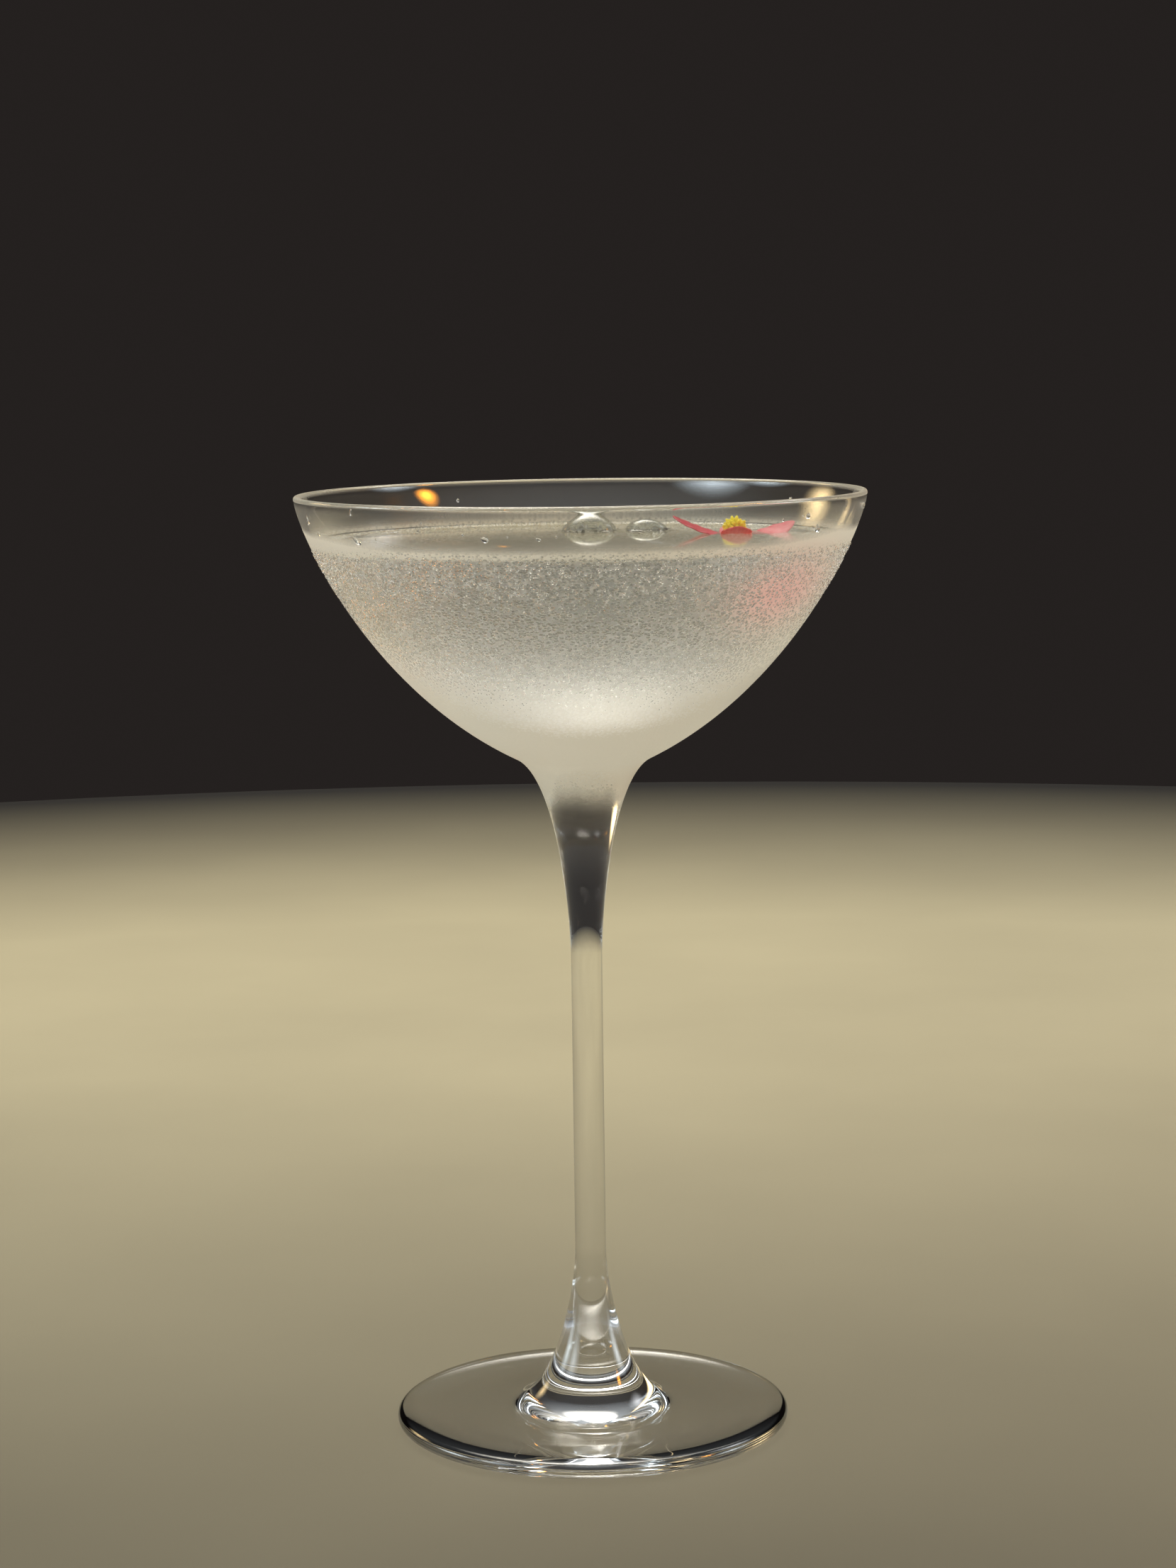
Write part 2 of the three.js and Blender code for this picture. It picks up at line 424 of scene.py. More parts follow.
def pebble_group() -> bpy.types.NodeTree:
    """Drops that stand close together: domes in bent, slightly flattened cells, with a web between them.

    The distance d to the nearest cell centre, in cells, gives a dome of height sqrt(1 - (d / edge)^2). The
    web mask runs from 0 in the domes to 1 between them.

    Returns:
        The group, with the outputs Web and Dome.
    """
    edge, web_start = 0.6, 0.25
    squash, bend_pitch = 1.45, 0.6
    number = "NodeSocketFloat"
    tree, nodes, given, out = new_group(
        "close_drops", {"Scale": 1400.0, "Bend": 0.5}, {"Web": number, "Dome": number})
    where = nodes.add("TexCoord").outputs["Object"]
    flat = nodes.add("Mapping", Vector=where)
    flat.inputs["Scale"].default_value = (1.0, 1.0, squash)
    slower = nodes.maths("MULTIPLY", given.outputs["Scale"], bend_pitch)
    bend = nodes.add("TexNoise", Vector=where, Scale=slower, Detail=1.0)
    shift = nodes.add("VectorMath", {"operation": "SCALE"}, Vector=bend.outputs["Color"])
    nodes.feed(shift.inputs["Scale"], nodes.maths("DIVIDE", given.outputs["Bend"], given.outputs["Scale"]))
    spot = nodes.add("VectorMath", {"operation": "ADD"}, Vector=flat.outputs[0])
    nodes.feed(spot.inputs[1], shift.outputs[0])
    cells = nodes.add("TexVoronoi", Vector=spot.outputs[0], Scale=given.outputs["Scale"])
    share = nodes.maths("DIVIDE", cells.outputs["Distance"], edge)
    dome = nodes.maths("SQRT", nodes.maths("SUBTRACT", 1.0, nodes.maths("POWER", share, 2.0), clamp=True))
    nodes.feed(out.inputs["Dome"], dome)
    nodes.feed(out.inputs["Web"], nodes.spread(cells.outputs["Distance"], web_start, edge, 0.0, 1.0))
    return tree


# ---- Finishes ----------------------------------------------------------------------------------
@dataclass(frozen=True)
class GlassFinish:
    """Clear polished glass that turns misty where the piece's fog and cover attributes are high."""

    pebbles: bpy.types.NodeTree
    ior: float = 1.5
    passing: float = 0.93
    pebble_scale: float = 1450.0
    pebble_bend: float = 0.7
    pebble_strength: float = 0.9
    pebble_depth: float = 0.22 * MM
    web_middle: float = 0.45
    speck_scale: float = 2600.0
    speck_share: float = 0.5
    mist_roughness: float = 0.34
    mist_cover: float = 0.9
    mist_ahead: float = 0.55
    contrast: float = 2.3
    edge_start: float = 0.35
    edge_gain: float = 5.2
    mist_colour: tuple[float, float, float] = (0.74, 0.69, 0.57)
    petal_reflection_colour: tuple[float, float, float] = (0.87, 0.54, 0.48)

    def material(self) -> bpy.types.Material:
        """Builds the material: glass whose roughness follows the fog, under a thin scattering mist.

        The mist's share of the surface is cover * uneven * edge * mist_cover. Uneven is 1 plus the swing
        between the drops and the web and a fine speckle, and edge grows where the wall is seen at a slant.

        Returns:
            The material.
        """
        material, nodes, out = new_material("misted_glass")
        fog, cover, beaded, petal_reflection = (nodes.attribute(name) for name in ("fog", "cover", "beaded", "petal_reflection"))
        drops = nodes.group(self.pebbles, Scale=self.pebble_scale, Bend=self.pebble_bend)
        where = nodes.add("TexCoord").outputs["Object"]
        fine = nodes.add("TexNoise", Vector=where, Scale=self.speck_scale, Detail=2.0)
        web = nodes.maths("SUBTRACT", drops.outputs["Web"], self.web_middle)
        swing = nodes.maths("MULTIPLY", nodes.maths("MULTIPLY", web, beaded), self.contrast)
        speck = nodes.maths("MULTIPLY", nodes.maths("SUBTRACT", fine.outputs["Fac"], 0.5), self.speck_share)
        uneven = nodes.maths("ADD", 1.0, nodes.maths("ADD", swing, speck))
        facing = nodes.add("LayerWeight", Blend=0.5).outputs["Facing"]
        edge = nodes.spread(facing, self.edge_start, 1.0, 1.0, self.edge_gain)
        rough = nodes.maths("MULTIPLY", nodes.maths("MULTIPLY", fog, uneven), self.mist_roughness, clamp=True)
        dome = nodes.maths("MULTIPLY", drops.outputs["Dome"], beaded)
        relief = nodes.add("Bump", Height=dome, Strength=self.pebble_strength, Distance=self.pebble_depth)
        glass = nodes.add("BsdfPrincipled", Base_Color=(1.0, 1.0, 1.0, 1.0), IOR=self.ior,
                          Roughness=rough, Normal=relief.outputs[0])
        glass.inputs["Transmission Weight"].default_value = 1.0
        # Where the petals' painted reflection lies, the mist turns pink.
        colour = nodes.ramp(petal_reflection, ((0.0, self.mist_colour), (1.0, self.petal_reflection_colour)))
        back = nodes.add("BsdfDiffuse", Color=colour, Normal=relief.outputs[0])
        ahead = nodes.add("BsdfTranslucent", Color=colour, Normal=relief.outputs[0])
        mist = nodes.add("MixShader", Fac=self.mist_ahead)
        nodes.feed(mist.inputs[1], back.outputs[0])
        nodes.feed(mist.inputs[2], ahead.outputs[0])
        thick = nodes.maths("MULTIPLY", nodes.maths("MULTIPLY", cover, uneven), edge)
        share = nodes.maths("MULTIPLY", thick, self.mist_cover, clamp=True)
        both = nodes.add("MixShader", Fac=share)
        nodes.feed(both.inputs[1], nodes.lets_light_through(glass.outputs[0], self.passing))
        nodes.feed(both.inputs[2], mist.outputs[0])
        nodes.feed(out.inputs["Surface"], both.outputs[0])
        return material


@dataclass(frozen=True)
class ClearFinish:
    """A clear wet body with a faint colour, such as the drink or a bead of water; the ice's grey tint is
    painted shade.
    """

    name: str
    ior: float
    tint: tuple[float, float, float] = (1.0, 1.0, 1.0)
    passing: float = 0.97
    wear: float = 0.015
    ripple: float = 0.0
    ripple_scale: float = 60.0

    def material(self) -> bpy.types.Material:
        """Builds the material: tinted, with a slow ripple in its normal and a roughness from 0 to wear.

        Returns:
            The material.
        """
        material, nodes, out = new_material(self.name)
        where = nodes.add("TexCoord").outputs["Object"]
        noise = nodes.add("TexNoise", Vector=where, Scale=self.ripple_scale, Detail=2.0)
        wave = nodes.add("Bump", Height=noise.outputs["Fac"], Strength=self.ripple, Distance=MM)
        rough = nodes.spread(noise.outputs["Fac"], *NOISE_SPAN, 0.0, self.wear)
        clear = nodes.add("BsdfPrincipled", Base_Color=(*self.tint, 1.0), IOR=self.ior,
                          Roughness=rough, Normal=wave.outputs[0])
        clear.inputs["Transmission Weight"].default_value = 1.0
        nodes.feed(out.inputs["Surface"], nodes.lets_light_through(clear.outputs[0], self.passing))
        return material


@dataclass(frozen=True)
class PetalFinish:
    """Fleshy petal: pale at its root, rose further out and deeper towards its tip, with fine veins."""

    name: str
    pale: tuple[float, float, float]
    rose: tuple[float, float, float]
    deep: tuple[float, float, float]
    veins: float = 26.0
    vein_tint: float = 0.35
    mottle_scale: float = 700.0
    mottle_reach: float = 0.08
    relief_strength: float = 0.35
    relief_depth: float = 0.2 * MM
    through: float = 0.42

    def material(self) -> bpy.types.Material:
        """Builds the material: colour along the petal, veins as colour and relief, light passing through.

        A vein shows where the sine of veins * across is near 1.

        Returns:
            The material.
        """
        material, nodes, out = new_material(self.name)
        along, across = nodes.attribute("along"), nodes.attribute("across")
        where = nodes.add("TexCoord").outputs["Object"]
        mottle = nodes.add("TexNoise", Vector=where, Scale=self.mottle_scale, Detail=3.0).outputs["Fac"]
        stray = nodes.spread(mottle, *NOISE_SPAN, -self.mottle_reach, self.mottle_reach)
        reach = nodes.maths("ADD", along, stray)
        colour = nodes.ramp(reach, ((0.0, self.pale), (0.35, self.rose), (1.0, self.deep)))
        wave = nodes.maths("SINE", nodes.maths("MULTIPLY", across, self.veins))
        vein = nodes.spread(wave, 0.55, 1.0, 0.0, 1.0)
        darker = nodes.add("Mix", {"data_type": "RGBA", "blend_type": "MULTIPLY"})
        nodes.feed(darker.inputs[0], nodes.maths("MULTIPLY", vein, self.vein_tint))
        nodes.feed(darker.inputs[6], colour)
        nodes.feed(darker.inputs[7], (*self.deep, 1.0))
        grain = nodes.maths("MULTIPLY", mottle, 0.6)
        height = nodes.maths("SUBTRACT", grain, nodes.maths("MULTIPLY", vein, 0.5))
        relief = nodes.add("Bump", Height=height, Strength=self.relief_strength, Distance=self.relief_depth)
        flesh = nodes.add("BsdfPrincipled", Base_Color=darker.outputs[2], Normal=relief.outputs[0],
                          Roughness=nodes.spread(mottle, *NOISE_SPAN, 0.3, 0.5))
        glow = nodes.add("BsdfTranslucent", Color=darker.outputs[2], Normal=relief.outputs[0])
        both = nodes.add("MixShader", Fac=self.through)
        nodes.feed(both.inputs[1], flesh.outputs[0])
        nodes.feed(both.inputs[2], glow.outputs[0])
        nodes.feed(out.inputs["Surface"], both.outputs[0])
        return material


@dataclass(frozen=True)
class StamenFinish:
    """Bright yellow stamens with a powdery pollen grain."""

    stalk: tuple[float, float, float] = (0.70, 0.66, 0.03)
    pollen: tuple[float, float, float] = (0.92, 0.78, 0.01)
    speckle_scale: float = 5200.0
    speckle_reach: float = 0.25
    relief_strength: float = 0.5
    relief_depth: float = 0.08 * MM

    def material(self) -> bpy.types.Material:
        """Builds the material: greener at the foot of each stamen, speckled with pollen at its head.

        Returns:
            The material.
        """
        material, nodes, out = new_material("stamen_yellow")
        where = nodes.add("TexCoord").outputs["Object"]
        speckle = nodes.add("TexNoise", Vector=where, Scale=self.speckle_scale, Detail=2.0).outputs["Fac"]
        stray = nodes.spread(speckle, *NOISE_SPAN, -self.speckle_reach, self.speckle_reach)
        reach = nodes.maths("ADD", nodes.attribute("along"), stray)
        colour = nodes.ramp(reach, ((0.1, self.stalk), (0.7, self.pollen)))
        relief = nodes.add("Bump", Height=speckle, Strength=self.relief_strength, Distance=self.relief_depth)
        body = nodes.add("BsdfPrincipled", Base_Color=colour, Normal=relief.outputs[0],
                         Roughness=nodes.spread(speckle, *NOISE_SPAN, 0.55, 0.8))
        nodes.feed(out.inputs["Surface"], body.outputs[0])
        return material


# ---- The glass ---------------------------------------------------------------------------------
@dataclass(frozen=True)
class FogLayers:
    """Where each layer of mist stands on the glass, in millimetres, and the share of white that it adds.

    Top, bottom, coarse, deep, beading and film are heights, and a pair of heights is where an edge starts
    and where it ends. Bottom_fade and over_line are how far an edge runs below and above its place. Skin is
    how far from the outside a point may lie, and lip is how far the lip's painted highlight reaches inwards
    and downwards.
    The painted reflection of the petals stands at a turn, in degrees from +X, and at a height.
    """

    top: float = 169.6
    top_fade: float = 3.2
    bottom: float = 119.5
    bottom_fade: tuple[float, float] = (3.5, 4.0)
    skin: float = 0.25
    wander: float = 0.7
    cover: float = 0.35
    coarse: tuple[float, float] = (134.0, 158.0)
    coarse_loss: float = 0.33
    coarse_polish: float = 0.62
    deep: tuple[float, float] = (125.0, 137.0)
    deep_cover: float = 0.55
    band_cover: float = 0.5
    band_lift: float = 0.5
    band_wander: float = 0.25
    band_width: float = 0.8
    over_line: tuple[float, float] = (0.3, 0.5)
    beading: tuple[float, float] = (143.0, 157.0)
    beading_least: float = 0.10
    beading_end: tuple[float, float] = (165.4, 167.4)
    film_top: float = 174.6
    film_fade: float = 1.6
    film_bottom: float = 101.0
    film_cover: float = 0.07
    film_fog: float = 0.1
    # Painted highlight on the lip: how far it reaches and how much white it adds.
    lip: tuple[float, float] = (1.4, 0.75)
    lip_highlight_cover: float = 0.16
    # Painted reflection of the petals on the fog: where it stands, how far it spreads and the mist it adds.
    petal_reflection_at: tuple[float, float] = (-41.0, 158.5)
    petal_reflection_spread: tuple[float, float] = (19.0, 6.5)
    petal_reflection_cover: float = 0.38


@dataclass
class CoupeGlass:
    """A thin-walled coupe on a solid drawn stem. The sizes are millimetres and the leans are degrees.

    A hold or a rise is the length of a curve's handle at that place.
    """

    rim_radius: float
    height: float
    line: float
    rim_wall: float = 1.05
    lip_hold: float = 5.7
    lip_lean: float = 4.8
    inner_lip_hold: float = 10.5
    inner_lip_lean: float = 8.3
    bowl_base: tuple[float, float] = (12.55, 126.0)
    bowl_base_lean: float = 63.7
    bowl_hold: float = 30.1
    bowl_floor: float = 125.6
    floor_hold: float = 28.3
    neck_hold: float = 8.4
    neck_rise: float = 7.7
    stem_radius: float = 2.9
    stem_top: float = 88.4
    stem_bottom: float = 32.5
    flare_rise: float = 5.7
    shoulder: tuple[float, float] = (16.1, 3.5)
    shoulder_hold: tuple[float, float] = (-9.7, 0.4)
    foot_radius: float = 36.9
    foot_thickness: float = 2.8
    resting_ring: float = 28.0
    recess_depth: float = 0.7
    turns: int = 224
    mist: FogLayers = field(default_factory=FogLayers)

    def inner(self, steps: int) -> Array:
        """The inside of the bowl, from its floor on the axis up to the lip.

        Args:
            steps: Number of stretches.

        Returns:
            Points as radius and height.
        """
        lip = (self.rim_radius - self.rim_wall, self.height - self.rim_wall / 2)
        lip_hold = leaning(-self.inner_lip_hold, self.inner_lip_lean)
        return bezier((0.0, self.bowl_floor), (self.floor_hold, 0.0), lip_hold, lip, steps)

    def outer(self, steps: int) -> Array:
        """The outside of the bowl, from the root of the stem up to the lip.

        Args:
            steps: Number of stretches.

        Returns:
            Points as radius and height.
        """
        lip = (self.rim_radius, self.height - self.rim_wall / 2)
        base_hold = leaning(self.bowl_hold, self.bowl_base_lean)
        return bezier(self.bowl_base, base_hold, leaning(-self.lip_hold, self.lip_lean), lip, steps)

    def neck(self, steps: int) -> Array:
        """The upper flare, from the stem out to the root of the bowl.

        Args:
            steps: Number of stretches.

        Returns:
            Points as radius and height.
        """
        base_hold = leaning(-self.neck_hold, self.bowl_base_lean)
        stem_end = (self.stem_radius, self.stem_top)
        return bezier(stem_end, (0.0, self.neck_rise), base_hold, self.bowl_base, steps)

    def outline(self) -> Array:
        """The whole outline: under the foot, round its edge, up the stem, over the lip and down inside.

        Returns:
            Points as radius and height, in metres.
        """
        edge = self.foot_thickness / 2
        lip = self.rim_wall / 2
        half = self.resting_ring / 2
        dish = bezier((0.0, self.recess_depth), (half, 0.0), (-half, 0.0), (self.resting_ring, 0.0), 14)
        rounded = arc((self.foot_radius - edge, edge), edge, -90, 80, 12)
        top = np.linspace(rounded[-1], self.shoulder, 8)
        foot_end, neck_end = (self.stem_radius, self.stem_bottom), (self.stem_radius, self.stem_top)
        flare = bezier(self.shoulder, self.shoulder_hold, (0.0, -self.flare_rise), foot_end, 36)
        stem = np.linspace(foot_end, neck_end, 14)
        over = arc((self.rim_radius - lip, self.height - lip), lip, 0, 180, 10)
        return joined(dish, rounded, top, flare, stem, self.neck(32), self.outer(170), over,
                      self.inner(64)[::-1]) * MM

    def outside_at(self, height: Array) -> Array:
        """Outer radius of the bowl and neck at each height, in millimetres, read off the outline."""
        run = joined(self.neck(200), self.outer(400))
        return np.interp(height, run[:, 1], run[:, 0])

    def fogging(self, points: Array) -> tuple[Array, Array, Array, Array]:
        """How misty, covered and beaded each point is, and how much painted reflection of the petals it
        takes.

        Fog is on the outside only, from the neck to a few millimetres over the drink's line, and its edges
        wander with the turn. It covers most in a band at the line and low in the bowl, and least where the
        drops are coarse. A thin film goes on above the fog, up to just below the lip, and another down the
        neck. The lip is a little pale all round, a painted highlight.

        Args:
            points: Vertices in metres.

        Returns:
            Fog, the share that a white mist covers, beading and the painted reflection of the petals.
            Only the share may pass 1.
        """
        mist = self.mist
        x, y, z = (points / MM).T
        radius, turn = np.hypot(x, y), np.arctan2(y, x)
        outside = (np.abs(radius - self.outside_at(z)) < mist.skin) & (z > mist.film_bottom)
        wander = 0.5 * np.sin(3 * turn + 0.7) + 0.35 * np.sin(7 * turn + 2.1) + 0.2 * np.sin(17 * turn)
        top = 1 - smoothstep(mist.top - mist.top_fade, mist.top, z + mist.wander * wander)
        below, above = mist.bottom_fade
        bottom = smoothstep(mist.bottom - below, mist.bottom + above, z - mist.wander * wander)
        fog = outside * top * bottom
        coarse = smoothstep(*mist.coarse, z)
        crest = (z - self.line - mist.band_lift - mist.band_wander * wander) / mist.band_width
        below, above = mist.over_line
        band = np.exp(-crest ** 2) + smoothstep(self.line - below, self.line + above, z)
        deep = 1 - smoothstep(*mist.deep, z)
        cover = mist.cover - mist.coarse_loss * coarse + mist.band_cover * band + mist.deep_cover * deep
        least = mist.beading_least
        beaded = fog * (least + (1 - least) * smoothstep(*mist.beading, z))
        beaded = beaded * (1 - smoothstep(*mist.beading_end, z))
        film_edge = 1 - smoothstep(mist.film_top - mist.film_fade, mist.film_top, z)
        film = outside * bottom * film_edge * (1 - top)
        neck = outside * smoothstep(mist.film_bottom, mist.bottom, z) * (1 - bottom)
        # Painted highlight: the lip is whitened all round, standing in for the rim's reflection.
        inwards, downwards = mist.lip
        lip = (z > self.height - downwards) & (radius > self.rim_radius - inwards)
        # Painted reflection: a pink patch on the fog in front of the petals stands in for their colour seen
        # in it.
        around = (np.degrees(turn) - mist.petal_reflection_at[0]) / mist.petal_reflection_spread[0]
        along = (z - mist.petal_reflection_at[1]) / mist.petal_reflection_spread[1]
        petal_reflection = fog * np.exp(-around ** 2 - along ** 2)
        cover = fog * cover + mist.film_cover * (film + neck)
        cover = cover + mist.lip_highlight_cover * lip + mist.petal_reflection_cover * petal_reflection
        return fog * (1 - mist.coarse_polish * coarse) + mist.film_fog * film, cover, beaded, petal_reflection

    def build(self, finish: GlassFinish) -> bpy.types.Object:
        """Builds the glass and dresses it.

        Args:
            finish: Its finish.

        Returns:
            The piece.
        """
        piece = closed_piece("coupe_glass", turned(self.outline()[1:-1], self.turns))
        points = np.empty(len(piece.data.vertices) * 3, np.float32)
        piece.data.vertices.foreach_get("co", points)
        marks = self.fogging(points.reshape(-1, 3).astype(float))
        for name, values in zip(("fog", "cover", "beaded", "petal_reflection"), marks):
            mark(piece, name, values)
        piece.data.materials.append(finish.material())
        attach(piece, BODY)
        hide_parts("glass")
        return piece


# ---- The ice -----------------------------------------------------------------------------------
@dataclass
class IceSliver:
    """A worn lump of clear ice, widest at the drink's level. Its place and size come from its CAD node."""

    node: str
    level: float
    seed: int
    lumps: float = 0.05
    wave_pitch: float = 1.6
    shrink: float = 0.97
    rows: int = 72
    turns: int = 96

    def extents(self) -> tuple[Array, Array, float, float]:
        """Where the sliver is and how large, read off its CAD node.

        Returns:
            Middle and half size across, height over the level and depth under it, in millimetres.
        """
        low, high = (np.array(corner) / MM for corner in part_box(self.node))
        half = (high - low)[:2] / 2 * self.shrink
        return (low + high)[:2] / 2, half, high[2] - self.level, self.level - low[2]

    def swell(self, way: Array) -> Array:
        """How far the surface stands from a true ball: 1 + lumps * the mean of three sines of the direction.

        Args:
            way: Directions from the middle, of length 1.

        Returns:
            Distance from the middle, as a share of the half size.
        """
        rng = np.random.default_rng(self.seed)
        waves = rng.normal(size=(3, 3)) * self.wave_pitch
        phases = rng.random(3) * 2 * np.pi
        return 1 + self.lumps * np.sin(way @ waves.T + phases).mean(axis=-1)

    def grid(self) -> Array:
        """A dented ball, stretched to its height over the level and to its depth under it.

        The direction (sin d cos a, sin d sin a, cos d) is scaled by the swell and by the half sizes.

        Returns:
            Grid of points, in metres.
        """
        middle, half, proud, sunk = self.extents()
        down = np.linspace(0.0, np.pi, self.rows + 2)[1:-1, None]
        turn = np.arange(self.turns) * 2 * np.pi / self.turns
        around = np.sin(down)
        way = np.stack([around * np.cos(turn), around * np.sin(turn), np.cos(down) + 0 * turn], axis=2)
        spot = way * self.swell(way)[..., None]
        tall = np.where(spot[..., 2] > 0, proud, sunk)
        size = np.stack([half[0] + 0 * tall, half[1] + 0 * tall, tall], axis=2)
        return (spot * size + np.array([*middle, self.level])) * MM

    def hollow(self, x: Array, y: Array) -> tuple[Array, Array]:
        """The ice's underside as the drink sees it.

        For a point at the shares (a, b) of the half sizes, the depth share c solves a^2 + b^2 + c^2 = swell^2
        for the direction (a, b, -c), by a few rounds of substitution.

        Args:
            x: Places across in millimetres.
            y: Places along in millimetres.

        Returns:
            Depth under the level in millimetres, 0 outside the ice, and the rough distance outside its edge.
        """
        middle, half, _, sunk = self.extents()
        a, b = (x - middle[0]) / half[0], (y - middle[1]) / half[1]
        flat = np.hypot(a, b)
        c = np.sqrt(np.clip(1 - flat ** 2, 0.0, None))
        edge = np.ones_like(flat)
        for _ in range(8):
            way = np.stack([a, b, -c], axis=-1)
            edge = self.swell(way / np.maximum(np.linalg.norm(way, axis=-1), 1e-6)[..., None])
            c = np.sqrt(np.clip(edge ** 2 - flat ** 2, 0.0, None))
        return c * sunk, np.clip(flat - edge, 0.0, None) * half.mean()

    def build(self, finish: ClearFinish) -> bpy.types.Object:
        """Builds the sliver and dresses it.

        Args:
            finish: Its finish.

        Returns:
            The piece.
        """
        piece = closed_piece(self.node + "_clear", self.grid())
        piece.data.materials.append(finish.material())
        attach(piece, BODY)
        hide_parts(self.node)
        return piece


# ---- The drink ---------------------------------------------------------------------------------
@dataclass
class Drink:
    """The drink: it reaches just into the wall and climbs it in a meniscus. The sizes are millimetres."""

    glass: CoupeGlass
    level: float
    ice: tuple[IceSliver, ...]
    reach: float = 0.12
    meniscus: float = 0.7
    curl: float = 0.9
    ice_meniscus: float = 0.55
    ice_curl: float = 0.6
    overlap: float = 0.05
    gap: float = 0.02
    close_rows: float = 9.0
    even_rows: float = 9.2
    row: float = 0.26
    middle: float = 22.0
    wide_rows: float = 21.8
    ice_limit: float = 42.0
    turns: int = 384

    def outline(self) -> Array:
        """Up along the wall, then in over the surface.

        The surface stands at level + meniscus * exp(-(R - r) / curl), with R the wall's radius there. Its
        rows lie closest at the wall, then evenly apart where the ice floats, and wide apart in the middle.

        Returns:
            Points as radius and height, in millimetres.
        """
        wall = self.glass.inner(400)
        along = np.gradient(wall, axis=0)
        along /= np.linalg.norm(along, axis=1)[:, None]
        wall = wall + self.reach * np.stack([along[:, 1], -along[:, 0]], axis=1)
        wall[0] = (0.0, wall[0, 1])
        top = self.level + self.meniscus
        below = wall[wall[:, 1] < top][::5]
        rim = np.array([np.interp(top, wall[:, 1], wall[:, 0]), top])
        close = (rim[0] - self.gap) - self.close_rows * np.linspace(0.0, 1.0, 30) ** 2.0
        even = np.arange(rim[0] - self.even_rows, self.middle, -self.row)
        inward = np.concatenate([close, even, np.linspace(self.wide_rows, 0.0, 24)])
        height = self.level + self.meniscus * np.exp(-(rim[0] - inward) / self.curl)
        surface = np.stack([inward, height], axis=1)
        return joined(below, rim[None], surface)

    def grid(self) -> Array:
        """The drink turned about its axis, with its surface pressed in by the ice.

        Inside the ice the surface follows the ice's underside, and round it stands ice_meniscus *
        exp(-distance / ice_curl) higher.

        Returns:
            Grid of points, in metres.
        """
        grid = turned(self.outline()[1:-1], self.turns)
        upper = grid[..., 2] > self.level - 0.001
        inner = upper & (np.hypot(grid[..., 0], grid[..., 1]) < self.ice_limit)
        for sliver in self.ice:
            depth, beyond = sliver.hollow(grid[..., 0], grid[..., 1])
            under = inner & (depth > 0)
            rise = self.ice_meniscus * np.exp(-beyond / self.ice_curl) * (depth <= 0)
            grid[..., 2] = np.where(under, self.level - depth + self.overlap, grid[..., 2] + inner * rise)
        return grid * MM

    def build(self, finish: ClearFinish) -> bpy.types.Object:
        """Builds the drink and dresses it.

        Args:
            finish: Its finish.

        Returns:
            The piece.
        """
        piece = closed_piece("drink_body", self.grid())
        piece.data.materials.append(finish.material())
        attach(piece, BODY)
        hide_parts("drink")
        return piece


# ---- Condensation ------------------------------------------------------------------------------
@dataclass
class BeadKind:
    """One kind of bead: its band on the bowl, its pitch and its size in millimetres, and its number of sides.

    Share is how many of its places hold a bead.
    """

    name: str
    low: float
    high: float
    pitch: float
    smallest: float
    largest: float
    sides: int
    share: float


